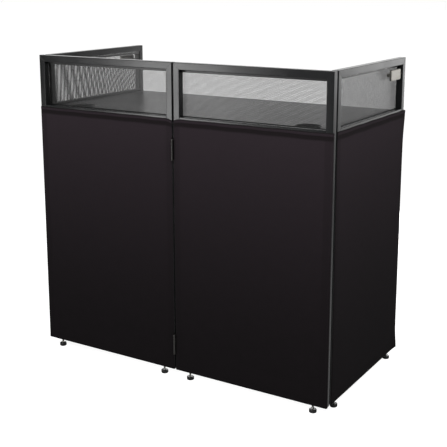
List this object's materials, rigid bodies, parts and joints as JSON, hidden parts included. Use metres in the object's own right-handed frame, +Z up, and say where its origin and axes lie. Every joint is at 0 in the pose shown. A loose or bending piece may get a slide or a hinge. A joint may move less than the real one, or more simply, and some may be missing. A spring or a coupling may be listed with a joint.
{
  "type": "dj booth",
  "caption": "Folding DJ booth: hinged tube frames with perforated grille windows over stretched cloth covers, a lift-off table with cable grommets, and levelling feet.",
  "frame": {"origin": "middle of the booth's footprint, on the floor", "axes": "+X to the right of someone who faces the front, +Y towards the performer, +Z up"},
  "size_m": [1.203, 0.623, 1.14],
  "materials": {
    "frame_steel": "satin black powder coat",
    "grille_steel": "matt black powder coat on perforated sheet",
    "cover_cloth": "matt black stretch jersey",
    "foot_rubber": "moulded black pad on a zinc-plated stud",
    "insert_steel": "zinc plated",
    "plate_aluminium": "satin, bare",
    "hinge_steel": "zinc plated",
    "table_laminate": "semi-gloss black laminate on board",
    "grommet_plastic": "moulded black",
    "bracket_steel": "satin black powder coat"
  },
  "bodies": {
    "front_left": {"front_left_left_stile": "frame_steel", "front_left_right_stile": "frame_steel", "front_left_top_rail": "frame_steel", "front_left_cross_rail": "frame_steel", "front_left_bottom_rail": "frame_steel", "front_left_grille": "grille_steel", "front_left_cover": "cover_cloth", "front_left_foot_inserts": "insert_steel", "front_left_table_rest": "bracket_steel", "centre_hinge_front_left_leaves": "hinge_steel", "centre_hinge_pins": "hinge_steel", "left_hinge_front_left_leaves": "hinge_steel", "left_hinge_pins": "hinge_steel"},
    "front_right": {"front_right_left_stile": "frame_steel", "front_right_right_stile": "frame_steel", "front_right_top_rail": "frame_steel", "front_right_cross_rail": "frame_steel", "front_right_bottom_rail": "frame_steel", "front_right_grille": "grille_steel", "front_right_cover": "cover_cloth", "front_right_foot_inserts": "insert_steel", "front_right_table_rest": "bracket_steel", "centre_hinge_front_right_leaves": "hinge_steel", "right_hinge_front_right_leaves": "hinge_steel"},
    "side_left": {"side_left_left_stile": "frame_steel", "side_left_right_stile": "frame_steel", "side_left_top_rail": "frame_steel", "side_left_cross_rail": "frame_steel", "side_left_bottom_rail": "frame_steel", "side_left_grille": "grille_steel", "side_left_cover": "cover_cloth", "side_left_foot_inserts": "insert_steel", "side_left_table_rests": "bracket_steel", "side_left_corner_plate": "plate_aluminium", "left_hinge_side_left_leaves": "hinge_steel"},
    "side_right": {"side_right_left_stile": "frame_steel", "side_right_right_stile": "frame_steel", "side_right_top_rail": "frame_steel", "side_right_cross_rail": "frame_steel", "side_right_bottom_rail": "frame_steel", "side_right_grille": "grille_steel", "side_right_cover": "cover_cloth", "side_right_foot_inserts": "insert_steel", "side_right_table_rests": "bracket_steel", "side_right_corner_plate": "plate_aluminium", "right_hinge_side_right_leaves": "hinge_steel", "right_hinge_pins": "hinge_steel"},
    "table": {"table_board": "table_laminate", "table_grommets": "grommet_plastic"},
    "front_left_left_foot": {"front_left_left_foot": "foot_rubber"},
    "front_left_right_foot": {"front_left_right_foot": "foot_rubber"},
    "front_right_left_foot": {"front_right_left_foot": "foot_rubber"},
    "front_right_right_foot": {"front_right_right_foot": "foot_rubber"},
    "side_left_left_foot": {"side_left_left_foot": "foot_rubber"},
    "side_left_right_foot": {"side_left_right_foot": "foot_rubber"},
    "side_right_left_foot": {"side_right_left_foot": "foot_rubber"},
    "side_right_right_foot": {"side_right_right_foot": "foot_rubber"}
  },
  "joints": [
    {"name": "centre_fold", "type": "hinge", "parent": "front_left", "child": "front_right", "pos_m": [0, -0.307, 0.03], "axis": [0, 0, -1], "range_deg": [0, 180]},
    {"name": "right_side_fold", "type": "hinge", "parent": "front_right", "child": "side_right", "pos_m": [0.57, -0.273, 0.03], "axis": [0, 0, 1], "range_deg": [0, 90]},
    {"name": "left_side_swing", "type": "hinge", "parent": "front_left", "child": "side_left", "pos_m": [-0.57, -0.273, 0.03], "axis": [0, 0, 1], "range_deg": [0, 6]},
    {"name": "table_lift", "type": "slide", "parent": "front_left", "child": "table", "axis": [0, 0, 1], "range_m": [0, 0.3]},
    {"name": "front_left_left_foot_level", "type": "slide", "parent": "front_left", "child": "front_left_left_foot", "axis": [0, 0, 1], "range_m": [-0.008, 0.006]},
    {"name": "front_left_right_foot_level", "type": "slide", "parent": "front_left", "child": "front_left_right_foot", "axis": [0, 0, 1], "range_m": [-0.008, 0.006]},
    {"name": "front_right_left_foot_level", "type": "slide", "parent": "front_right", "child": "front_right_left_foot", "axis": [0, 0, 1], "range_m": [-0.008, 0.006]},
    {"name": "front_right_right_foot_level", "type": "slide", "parent": "front_right", "child": "front_right_right_foot", "axis": [0, 0, 1], "range_m": [-0.008, 0.006]},
    {"name": "side_left_left_foot_level", "type": "slide", "parent": "side_left", "child": "side_left_left_foot", "axis": [0, 0, 1], "range_m": [-0.008, 0.006]},
    {"name": "side_left_right_foot_level", "type": "slide", "parent": "side_left", "child": "side_left_right_foot", "axis": [0, 0, 1], "range_m": [-0.008, 0.006]},
    {"name": "side_right_left_foot_level", "type": "slide", "parent": "side_right", "child": "side_right_left_foot", "axis": [0, 0, 1], "range_m": [-0.008, 0.006]},
    {"name": "side_right_right_foot_level", "type": "slide", "parent": "side_right", "child": "side_right_right_foot", "axis": [0, 0, 1], "range_m": [-0.008, 0.006]}
  ],
  "couplings": [
    {"joint": "right_side_fold", "follows": "centre_fold", "ratio": 0.5}
  ]
}
